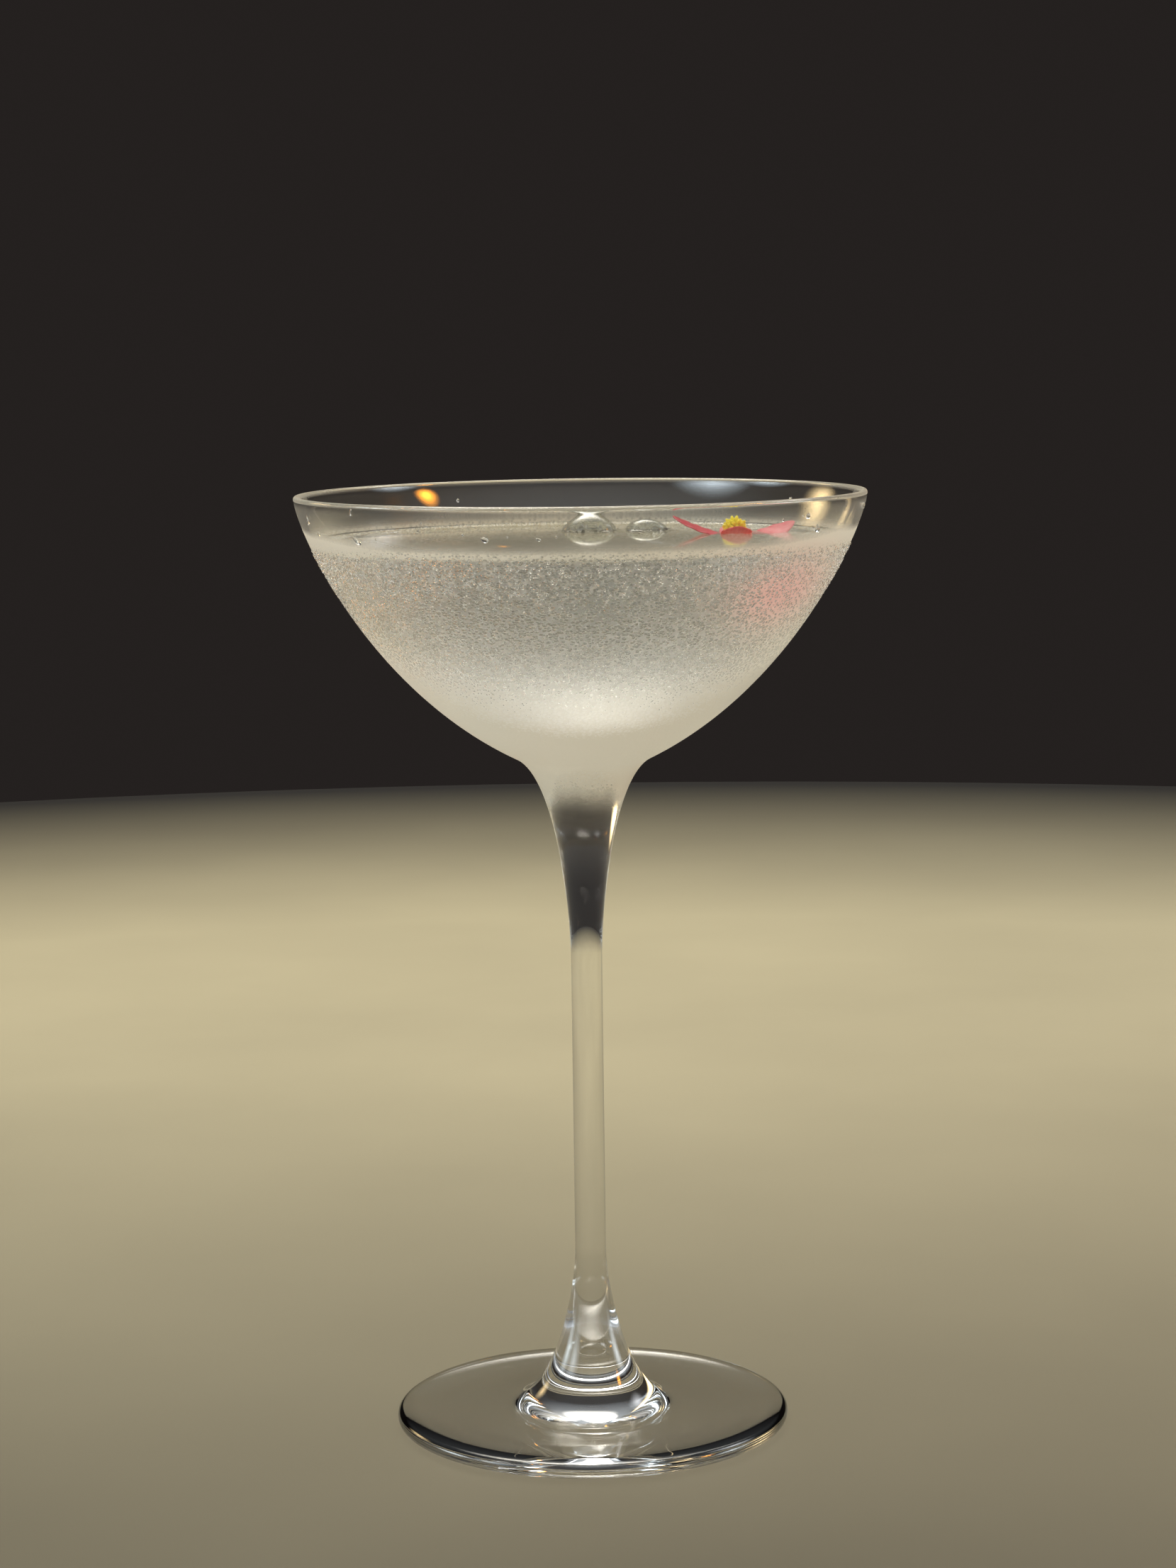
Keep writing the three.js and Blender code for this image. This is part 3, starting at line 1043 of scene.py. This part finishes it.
@dataclass
class Condensation:
    """Beads of water on the outside of the bowl, coarse under the drink's line and finer below.

    Low fade and high fade are the millimetres over which a band thins out at its two ends.
    """

    glass: CoupeGlass
    kinds: tuple[BeadKind, ...]
    seed: int = 11
    jitter: float = 0.7
    low_fade: float = 9.0
    high_fade: float = 1.5
    flatness: float = 0.24
    sunk: float = 0.02
    stretch: float = 0.3
    wobble: float = 0.12
    crown: float = 0.8
    rings: int = 2

    def places(self, kind: BeadKind, rng: np.random.Generator) -> tuple[Array, Array]:
        """Heights and turns of the beads: one in each cell of a jittered grid over the band.

        Cells are pitch wide at every height, and a share is left out towards the ends of the band.

        Args:
            kind: The kind of bead.
            rng: Source of the jitter.

        Returns:
            Height in millimetres and turn in radians of each bead.
        """
        run = joined(self.glass.neck(400), self.glass.outer(800))
        length = np.concatenate([[0.0], np.cumsum(np.linalg.norm(np.diff(run, axis=0), axis=1))])
        low, high = (np.interp(h, run[:, 1], length) for h in (kind.low, kind.high))
        rows = np.arange(low, high, kind.pitch)
        middle = np.interp(rows, length, run[:, 0])
        counts = np.maximum((2 * np.pi * middle / kind.pitch).astype(int), 6)
        row = np.repeat(np.arange(len(rows)), counts)
        place = np.arange(counts.sum()) - np.repeat(np.cumsum(counts) - counts, counts)
        jitter = rng.random((2, len(row)))
        along = rows[row] + (jitter[0] - 0.5) * kind.pitch * self.jitter
        turn = (place + 0.5 * (row % 2) + (jitter[1] - 0.5) * self.jitter) * 2 * np.pi / counts[row]
        height = np.interp(along, length, run[:, 1])
        upper_end = 1 - smoothstep(kind.high - self.high_fade, kind.high, height)
        fade = smoothstep(kind.low, kind.low + self.low_fade, height) * upper_end
        kept = rng.random(len(row)) < kind.share * fade
        return height[kept], turn[kept]

    def beads(self, kind: BeadKind, rng: np.random.Generator) -> Array:
        """Every bead of a kind as a small closed lens on the bowl.

        A bead is an oval dome. Its rings stand at sin(rise) of its height with cos(rise) of its radius, and
        rise runs from 0 to crown, a share of a quarter turn. Its outline wobbles a little, and its flat
        underside lies just inside the glass.

        Args:
            kind: The kind of bead.
            rng: Source of sizes and shapes.

        Returns:
            Grids of shape (beads, rings + 1, sides, 3), in metres.
        """
        height, turn = self.places(kind, rng)
        count = len(height)
        radius = self.glass.outside_at(height)
        step = 0.05
        wider = self.glass.outside_at(height + step) - self.glass.outside_at(height - step)
        slope = wider / (2 * step)
        lean = np.arctan(slope)
        out = np.stack([np.cos(turn) * np.cos(lean), np.sin(turn) * np.cos(lean), -np.sin(lean)], axis=1)
        side = np.stack([-np.sin(turn), np.cos(turn), 0 * turn], axis=1)
        up = np.cross(out, side)
        foot = np.stack([radius * np.cos(turn), radius * np.sin(turn), height], axis=1)
        size = kind.smallest + (kind.largest - kind.smallest) * rng.random(count) ** 1.3
        size = size * (0.4 + 0.6 * smoothstep(kind.low, kind.low + self.low_fade, height))
        stretch = 1 + self.stretch * rng.random(count) ** 2
        spin = rng.random(count) * np.pi
        rise = np.linspace(0.0, np.pi / 2 * self.crown, self.rings)
        ring = np.concatenate([[1.0], np.cos(rise)])
        lift = np.concatenate([[-self.sunk], np.sin(rise) * self.flatness])
        a = np.arange(kind.sides) * 2 * np.pi / kind.sides
        wobble = 1 + self.wobble * (rng.random((count, 1, kind.sides)) - 0.5) * 2
        first = ring[None, :, None] * np.cos(a) * wobble * (size * stretch)[:, None, None] / 2
        second = ring[None, :, None] * np.sin(a) * wobble * (size / stretch)[:, None, None] / 2
        across = first * np.cos(spin)[:, None, None] - second * np.sin(spin)[:, None, None]
        upward = first * np.sin(spin)[:, None, None] + second * np.cos(spin)[:, None, None]
        proud = lift[None, :, None] * size[:, None, None] + 0 * first
        spots = (foot[:, None, None] + across[..., None] * side[:, None, None]
                 + upward[..., None] * up[:, None, None] + proud[..., None] * out[:, None, None])
        return spots * MM

    def build(self, finish: ClearFinish) -> list[bpy.types.Object]:
        """Builds the beads, one piece for each kind, and dresses them.

        Args:
            finish: Their finish.

        Returns:
            The pieces.
        """
        rng = np.random.default_rng(self.seed)
        material = finish.material()
        pieces = []
        for kind in self.kinds:
            grids = self.beads(kind, rng)
            piece = closed_piece(kind.name, grids)
            piece.data.materials.append(material)
            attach(piece, BODY)
            log.info("%s: %d beads, %d faces", piece.name, len(grids), len(piece.data.polygons))
            pieces.append(piece)
        return pieces


@dataclass(frozen=True)
class StrayDrop:
    """A single drop on the clear wall over the drink.

    Turn is degrees from +X, and slant is degrees from upright. Height, width and length are millimetres.
    """

    turn: float
    height: float
    width: float
    length: float
    slant: float = 0.0


STRAY_DROPS = (
    StrayDrop(-159.5, 171.5, 0.7, 1.9, 12),
    StrayDrop(-155.5, 169.2, 0.6, 1.2, 10),
    StrayDrop(-140.2, 168.6, 0.9, 2.6, 55),
    StrayDrop(-134.0, 169.0, 0.45, 0.6),
    StrayDrop(-122.6, 170.8, 0.4, 0.5),
    StrayDrop(-121.5, 172.2, 0.3, 0.4),
    StrayDrop(-120.4, 171.6, 0.3, 0.35),
    StrayDrop(-113.0, 170.2, 0.4, 0.5),
    StrayDrop(-108.6, 169.4, 0.9, 1.4, 65),
    StrayDrop(-104.0, 169.9, 0.3, 0.35),
    StrayDrop(-98.0, 169.5, 0.5, 0.9, 70),
    StrayDrop(-94.6, 169.9, 0.4, 0.5),
    StrayDrop(-47.6, 171.5, 0.5, 0.6),
    StrayDrop(-40.4, 171.9, 1.0, 1.1),
    StrayDrop(-36.0, 169.5, 1.1, 1.6, 20),
    StrayDrop(-12.0, 172.4, 1.2, 1.2),
    StrayDrop(38.0, 170.8, 1.2, 1.9, 15),
    StrayDrop(118.0, 171.2, 0.6, 0.8),
    StrayDrop(151.0, 169.8, 0.5, 1.1, 8),
)


@dataclass
class WallDrops:
    """The stray drops: closed domes, a little longer than wide, each on the outside of the wall."""

    glass: CoupeGlass
    drops: tuple[StrayDrop, ...] = STRAY_DROPS
    flatness: float = 0.34
    sunk: float = 0.06
    narrowing: float = 0.18
    wall_slope: float = 0.12
    crown: float = 0.93
    sides: int = 28
    rings: int = 9

    def grid(self, drop: StrayDrop) -> Array:
        """One drop as rings that shrink by cos and rise by sin, narrower at its upper end.

        Args:
            drop: Its place and size.

        Returns:
            Grid in metres, from the underside just inside the wall to the crown.
        """
        radius = float(self.glass.outside_at(np.array([drop.height]))[0])
        t, tip = math.radians(drop.turn), math.radians(drop.slant)
        out = np.array([math.cos(t), math.sin(t), -self.wall_slope])
        side = np.array([-math.sin(t), math.cos(t), 0.0])
        up = np.array([self.wall_slope * math.cos(t), self.wall_slope * math.sin(t), 1.0])
        rise = np.linspace(0.0, np.pi / 2 * self.crown, self.rings)[:, None]
        ring = np.concatenate([[[1.0]], np.cos(rise)])
        lift = np.concatenate([[[-self.sunk]], np.sin(rise) * self.flatness])
        a = np.arange(self.sides) * 2 * np.pi / self.sides
        wide = ring * np.cos(a) * drop.width / 2 * (1 - self.narrowing * np.sin(a))
        tall = ring * np.sin(a) * drop.length / 2
        across = wide * math.cos(tip) - tall * math.sin(tip)
        upward = wide * math.sin(tip) + tall * math.cos(tip)
        proud = lift * drop.width + 0 * a - (across / radius) ** 2 * radius / 2
        foot = np.array([radius * math.cos(t), radius * math.sin(t), drop.height])
        return (foot + across[..., None] * side + upward[..., None] * up + proud[..., None] * out) * MM

    def build(self, finish: ClearFinish) -> bpy.types.Object:
        """Builds the drops as one piece and dresses it.

        Args:
            finish: Their finish.

        Returns:
            The piece.
        """
        piece = closed_piece("wall_drops", np.stack([self.grid(drop) for drop in self.drops]))
        piece.data.materials.append(finish.material())
        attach(piece, BODY)
        return piece


# ---- The flower --------------------------------------------------------------------------------
class Petal(Enum):
    """The four petals by their CAD node names."""

    LEFT = "petal_left"
    RIGHT = "petal_right"
    FRONT = "petal_front"
    BACK = "petal_back"


@dataclass
class PetalShape:
    """One petal. Lengths are millimetres, and heading is degrees from +X to the tip.

    Draught is how far its root lies under the drink's level.
    """

    heading: float
    length: float
    width: float
    rise: float
    bend: float
    cup: float
    roll: float
    ruffle: float = 0.18
    draught: float = 0.7


PETAL_SHAPES = {
    Petal.LEFT: PetalShape(180, length=11.0, width=9.6, rise=3.9, bend=1.6, cup=0.2, roll=-0.5),
    Petal.RIGHT: PetalShape(2, length=10.8, width=9.8, rise=2.9, bend=2.6, cup=0.2, roll=1.9, draught=1.0),
    Petal.FRONT: PetalShape(-88, length=7.8, width=6.0, rise=2.1, bend=0.9, cup=-0.3, roll=0.0, draught=0.45),
    Petal.BACK: PetalShape(94, length=8.0, width=5.0, rise=1.9, bend=1.4, cup=0.3, roll=0.0),
}


@dataclass
class Flower:
    """A small four-petalled flower that floats on the drink, with a dome of stamens in its middle."""

    x: float
    y: float
    level: float
    petal_thickness: float = 0.7
    claw: float = 0.7
    stamen_count: int = 46
    stamen_reach: float = 3.1
    stamen_foot: float = 0.25
    stalk: float = 0.16
    club: float = 0.2
    club_end: float = 0.22
    dome: float = 0.93
    seed: int = 5

    def petal_grid(self, shape: PetalShape) -> tuple[Array, Array, Array]:
        """One petal as a flattened tube that closes at root and tip.

        Along the petal u runs from 0 to 1, and its half width is W/2 sin(pi u^0.72)^0.62, a rounded oval on a
        narrow claw. The section is an ellipse. The middle rises by rise u^bend and the long edges by the cup,
        and the rim ruffles gently.

        Args:
            shape: Sizes of the petal.

        Returns:
            The grid in metres, and how far along and how far across the petal each point is.
        """
        u = (1 - np.cos(np.linspace(0.03, 1.0, 52) * np.pi)) / 2
        u = np.clip(u, 0.002, 0.998)[:, None]
        columns = 72
        a = np.arange(columns) * 2 * np.pi / columns
        half = shape.width / 2 * np.sin(np.pi * u ** 0.72) ** 0.62
        across = np.cos(a) * half / (shape.width / 2)
        thick = self.petal_thickness / 2 * np.sin(np.pi * np.clip(u, 0.02, 0.98)) ** 0.3
        lift = shape.rise * u ** shape.bend + (shape.cup * across ** 2 + shape.roll * across) * u
        lift = lift + shape.ruffle * u * across ** 2 * np.sin(9 * u * np.pi + 2.4 * across)
        distance = self.claw + shape.length * u + 0 * a
        sideways = across * shape.width / 2
        height = self.level - shape.draught + lift + thick * np.sin(a)
        h = math.radians(shape.heading)
        x = self.x + distance * math.cos(h) - sideways * math.sin(h)
        y = self.y + distance * math.sin(h) + sideways * math.cos(h)
        return np.stack([x, y, height], axis=2) * MM, u + 0 * a, across

    def build_petal(self, node: Petal, finish: PetalFinish) -> bpy.types.Object:
        """Builds one petal and dresses it.

        Args:
            node: Which petal.
            finish: Its finish.

        Returns:
            The piece.
        """
        grid, along, across = self.petal_grid(PETAL_SHAPES[node])
        piece = closed_piece(node.value + "_flesh", grid)
        mark(piece, "along", np.concatenate([along.ravel(), [0.0, 1.0]]))
        mark(piece, "across", np.concatenate([across.ravel(), [0.0, 0.0]]))
        piece.data.materials.append(finish.material())
        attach(piece, BODY)
        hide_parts(node.value)
        return piece

    def build_stamens(self, finish: StamenFinish) -> bpy.types.Object:
        """Builds the stamens and dresses them.

        Each is a thin stalk with a club-shaped head. Stamen n of N turns by n golden angles and leans by the
        arc cosine of 1 - dome * (n + 0.5) / N, which spreads them evenly over a dome.

        Args:
            finish: Their finish.

        Returns:
            The piece.
        """
        rng = np.random.default_rng(self.seed)
        n = np.arange(self.stamen_count)
        lean = np.arccos(1 - (n + 0.5) / self.stamen_count * self.dome)
        turn = n * np.pi * (3 - np.sqrt(5))
        uneven = 0.86 + 0.14 * rng.random(self.stamen_count)
        reach = self.stamen_reach * uneven * (1 - 0.2 * (lean / 1.5) ** 2)
        way = np.stack([np.sin(lean) * np.cos(turn), np.sin(lean) * np.sin(turn), np.cos(lean)], axis=1)
        side = np.stack([-np.sin(turn), np.cos(turn), 0 * turn], axis=1)
        other = np.cross(way, side)
        u = np.linspace(0.0, 1.0, 9)
        thick = self.stalk + self.club * smoothstep(0.45, 0.8, u) - self.club_end * smoothstep(0.9, 1.0, u)
        sides = 8
        a = np.arange(sides) * 2 * np.pi / sides
        centre = way[:, None, None] * (reach[:, None] * u)[..., None, None]
        radial = np.cos(a)[:, None] * side[:, None, None] + np.sin(a)[:, None] * other[:, None, None]
        grid = centre + radial * thick[:, None, None]
        grid = grid + np.array([self.x, self.y, self.level + self.stamen_foot])
        piece = closed_piece("stamen_cluster", grid * MM)
        along = np.broadcast_to(u[None, :, None], grid.shape[:3]).reshape(self.stamen_count, -1)
        ends = np.broadcast_to([0.0, 1.0], (self.stamen_count, 2))
        mark(piece, "along", np.concatenate([along, ends], axis=1))
        piece.data.materials.append(finish.material())
        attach(piece, BODY)
        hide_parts("stamens")
        return piece


# ---- Studio ------------------------------------------------------------------------------------
@dataclass(frozen=True)
class Softbox:
    """A soft area light. Places and sizes are metres.

    Middle is how bright its middle is, and falloff is the power by which it fades outwards.
    """

    name: str
    place: tuple[float, float, float]
    target: tuple[float, float, float]
    width: float
    height: float
    watts: float
    colour: tuple[float, float, float]
    middle: float = 1.7
    falloff: float = 1.6

    def soften(self, data: bpy.types.Light) -> None:
        """Lets the light fall off from its middle to nothing at its edge.

        With d the distance from the middle as a share of the light's size, the strength is
        (middle * (1 - 2 d)) ^ falloff, and 0 past the edge.

        Args:
            data: The lamp to soften.
        """
        data.use_nodes = True
        data.node_tree.nodes.clear()
        nodes = Nodes(data.node_tree)
        where = nodes.add("NewGeometry").outputs["Parametric"]
        centred = nodes.add("VectorMath", {"operation": "SUBTRACT"}, Vector=where)
        centred.inputs[1].default_value = (0.5, 0.5, 0.0)
        split = nodes.add("SeparateXYZ", Vector=centred.outputs[0])
        across = nodes.maths("POWER", split.outputs["X"], 2.0)
        away = nodes.maths("SQRT", nodes.maths("ADD", across, nodes.maths("POWER", split.outputs["Y"], 2.0)))
        strength = nodes.maths("POWER", nodes.spread(away, 0.0, 0.5, self.middle, 0.0), self.falloff)
        glow = nodes.add("Emission", Strength=strength)
        out = nodes.add("OutputLight")
        nodes.feed(out.inputs["Surface"], glow.outputs[0])

    def build(self) -> None:
        """Puts the light in place, facing its target."""
        data = bpy.data.lights.new(self.name, "AREA")
        data.shape, data.size, data.size_y = "RECTANGLE", self.width, self.height
        data.energy, data.color = self.watts, self.colour
        self.soften(data)
        lamp = bpy.data.objects.new(self.name, data)
        way = Vector(self.target) - Vector(self.place)
        lamp.matrix_world = Matrix.Translation(self.place) @ way.to_track_quat("-Z", "Y").to_matrix().to_4x4()
        bpy.context.scene.collection.objects.link(lamp)


@dataclass(frozen=True)
class Studio:
    """A plain pale table top with painted shade on its near side, which fades into a dim surround, soft
    lights and the camera.

    Lengths are metres. A pair of places is where a change of brightness starts and where it ends.
    """

    floor_radius: float = 0.9
    floor_drop: float = 0.0002
    floor_turns: int = 128
    pale: tuple[float, float, float] = (0.335, 0.295, 0.19)
    cloud_scale: float = 6.0
    cloud_share: float = 0.9
    far_floor: tuple[float, float, float] = (0.014, 0.012, 0.010)
    far_fade: tuple[float, float] = (0.55, 0.89)
    near_shade_share: float = 0.36
    near_shade_fade: tuple[float, float] = (-0.12, 0.30)
    fill: tuple[float, float, float] = (0.66, 0.70, 0.72)
    over_fade: tuple[float, float] = (0.35, 0.95)
    front_share: float = 0.42
    front_fade: tuple[float, float] = (-0.9, 0.1)
    dim: tuple[float, float, float] = (0.018, 0.015, 0.014)
    camera_distance: float = 0.63015
    camera_height: float = 0.20617
    camera_side: float = 0.0007
    camera_pitch: float = 7.70
    camera_roll: float = -0.78
    lens: float = 78.9
    boxes: tuple[Softbox, ...] = (
        Softbox("overhead", (-0.1, 0.55, 0.75), (0, 0.5, 0), 1.0, 0.6, 14.0, (1.0, 0.95, 0.84)),
        Softbox("left_window", (-1.1, -0.62, 0.5), (0, 0, 0.12), 1.0, 0.8, 11.0, (0.80, 0.92, 1.0)),
        Softbox("right_window", (0.85, 0.45, 0.95), (0, 0, 0.13), 0.7, 0.7, 8.0, (0.95, 0.97, 1.0)),
        Softbox("right_lamp", (0.85, -0.24, 0.55), (0, 0, 0.15), 0.2, 0.3, 4.2, (1.0, 0.36, 0.03)),
        Softbox("left_strip", (-0.95, -0.05, 0.24), (0, 0, 0.12), 0.6, 0.44, 5.0, (0.78, 0.92, 1.0)),
        Softbox("right_strip", (0.95, -0.05, 0.24), (0, 0, 0.12), 0.6, 0.44, 5.0, (0.82, 0.93, 1.0)),
        Softbox("warm_back", (-0.95, 0.75, 0.5), (0, 0, 0.14), 0.6, 0.5, 5.0, (1.0, 0.74, 0.38)),
        Softbox("behind", (0.1, 1.1, 1.1), (0, 0, 0.13), 1.3, 0.7, 9.0, (1.0, 0.96, 0.88)),
    )

    def floor(self) -> None:
        """A round table top, clouded, with painted shade on its near side and faded to the dim surround at
        its edge.
        """
        a = np.arange(self.floor_turns) * 2 * np.pi / self.floor_turns
        x, y = np.cos(a) * self.floor_radius, np.sin(a) * self.floor_radius
        rim = np.stack([x, y, 0 * a - self.floor_drop], axis=1)
        mesh = bpy.data.meshes.new("table_top")
        mesh.from_pydata(rim.tolist(), [], [list(range(self.floor_turns))])
        top = bpy.data.objects.new("table_top", mesh)
        bpy.context.scene.collection.objects.link(top)
        material, nodes, out = new_material("pale_table")
        where = nodes.add("TexCoord").outputs["Object"]
        far = nodes.add("VectorMath", {"operation": "LENGTH"}, Vector=where).outputs["Value"]
        cloud = nodes.add("TexNoise", Vector=where, Scale=self.cloud_scale, Detail=4.0).outputs["Fac"]
        fade = nodes.spread(far, *self.far_fade, 0.0, 1.0)
        dark = tuple(c * self.cloud_share for c in self.pale)
        pale = nodes.ramp(cloud, ((0.35, dark), (0.65, self.pale)))
        # Painted shade: the near side of the table is darkened.
        along = nodes.add("SeparateXYZ", Vector=where).outputs["Y"]
        shade = nodes.add("VectorMath", {"operation": "SCALE"}, Vector=pale)
        nodes.feed(shade.inputs["Scale"], nodes.spread(along, *self.near_shade_fade, self.near_shade_share, 1.0))
        colour = nodes.add("Mix", {"data_type": "RGBA"})
        nodes.feed(colour.inputs[0], fade)
        nodes.feed(colour.inputs[6], shade.outputs[0])
        nodes.feed(colour.inputs[7], (*self.far_floor, 1.0))
        surface = nodes.add("BsdfPrincipled", Base_Color=colour.outputs[2], Roughness=0.7)
        surface.inputs["Specular IOR Level"].default_value = 0.2
        nodes.feed(out.inputs["Surface"], surface.outputs[0])
        mesh.materials.append(material)

    def surround(self) -> None:
        """The world: dim beyond the table, paler overhead and on the near side."""
        world = bpy.data.worlds.new("surround")
        world.use_nodes = True
        nodes = Nodes(world.node_tree)
        world.node_tree.nodes.clear()
        way = nodes.add("SeparateXYZ", Vector=nodes.add("TexCoord").outputs["Generated"])
        over = nodes.spread(way.outputs["Z"], *self.over_fade, 0.0, 1.0)
        front = nodes.spread(way.outputs["Y"], *self.front_fade, self.front_share, 0.0)
        colour = nodes.add("Mix", {"data_type": "RGBA"})
        nodes.feed(colour.inputs[0], nodes.maths("ADD", over, front, clamp=True))
        nodes.feed(colour.inputs[6], (*self.dim, 1.0))
        nodes.feed(colour.inputs[7], (*self.fill, 1.0))
        back = nodes.add("Background", Color=colour.outputs[2], Strength=1.0)
        out = nodes.add("OutputWorld")
        nodes.feed(out.inputs["Surface"], back.outputs[0])
        bpy.context.scene.world = world

    def camera(self) -> None:
        """The camera, a little over the height of the rim: it looks along +Y and slightly down."""
        data = bpy.data.cameras.new("camera")
        data.lens = self.lens
        eye = bpy.data.objects.new("camera", data)
        place = Matrix.Translation((self.camera_side, -self.camera_distance, self.camera_height))
        tilt = Matrix.Rotation(math.radians(90 - self.camera_pitch), 4, "X")
        eye.matrix_world = place @ tilt @ Matrix.Rotation(math.radians(self.camera_roll), 4, "Z")
        bpy.context.scene.collection.objects.link(eye)
        bpy.context.scene.camera = eye

    def build(self) -> None:
        """Builds the table top, the surround, the lights and the camera."""
        self.camera()
        self.floor()
        self.surround()
        for box in self.boxes:
            box.build()
        bpy.context.scene.view_settings.view_transform = "Standard"
        self.light_paths()

    def light_paths(self) -> None:
        """Allows the many passes that light makes through glass and drink, and leaves out noisy caustics."""
        cycles = bpy.context.scene.cycles
        cycles.max_bounces = 32
        cycles.transmission_bounces = 32
        cycles.glossy_bounces = 8
        cycles.diffuse_bounces = 4
        cycles.transparent_max_bounces = 16
        cycles.caustics_refractive = False
        cycles.caustics_reflective = False
        cycles.sample_clamp_indirect = 20.0


def main() -> None:
    """Builds the cocktail piece by piece inside its studio."""
    logging.basicConfig(level=logging.INFO, format="%(message)s")
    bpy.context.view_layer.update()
    Studio().build()
    top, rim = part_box("glass")[1].z / MM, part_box("glass")[1].x / MM
    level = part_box("drink")[1].z / MM
    glass = CoupeGlass(rim_radius=rim, height=top, line=level)
    log.info("glass: %s", glass.build(GlassFinish(pebble_group())).name)
    slivers = (IceSliver("ice_sliver_large", level, seed=3), IceSliver("ice_sliver_small", level, seed=4))
    drink = Drink(glass, level, slivers)
    log.info("drink: %s", drink.build(ClearFinish("straw_drink", 1.345, (0.985, 0.98, 0.93))).name)
    kinds = (BeadKind("beads_coarse_1", 152.5, 165.9, 0.72, smallest=0.4, largest=0.8, sides=7, share=0.6),
             BeadKind("beads_fine_1", 145.0, 160.0, 1.7, smallest=0.16, largest=0.3, sides=6, share=0.1))
    Condensation(glass, kinds).build(ClearFinish("bead_water", 1.333))
    log.info("drops: %s", WallDrops(glass).build(ClearFinish("stray_drop_water", 1.333)).name)
    # The ice's grey tint is painted shade: it darkens the clear ice as the dim surround seen in it would.
    ice = ClearFinish("ice_painted_shade", 1.31, (0.66, 0.70, 0.73), ripple=0.15, ripple_scale=90.0)
    for sliver in slivers:
        log.info("ice: %s", sliver.build(ice).name)
    low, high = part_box("stamens")
    middle = (low + high) / 2 / MM
    flower = Flower(middle.x, middle.y, level)
    crimson = PetalFinish("petal_crimson", (0.80, 0.13, 0.13), (0.76, 0.05, 0.09), (0.62, 0.015, 0.05))
    rose = PetalFinish("petal_rose", (0.88, 0.24, 0.22), (0.86, 0.10, 0.13), (0.72, 0.03, 0.07))
    # Painted light: the front petal lies in shade, so it gets paler, lighter copies of the rose colours.
    salmon_painted_light = PetalFinish("petal_salmon_painted_light", (0.92, 0.34, 0.30), (0.90, 0.20, 0.20), (0.82, 0.09, 0.11))
    finishes = {Petal.RIGHT: rose, Petal.FRONT: salmon_painted_light}
    for node in Petal:
        finish = finishes.get(node, crimson)
        log.info("petal: %s", flower.build_petal(node, finish).name)
    log.info("stamens: %s", flower.build_stamens(StamenFinish()).name)


if __name__ == "__main__":
    main()
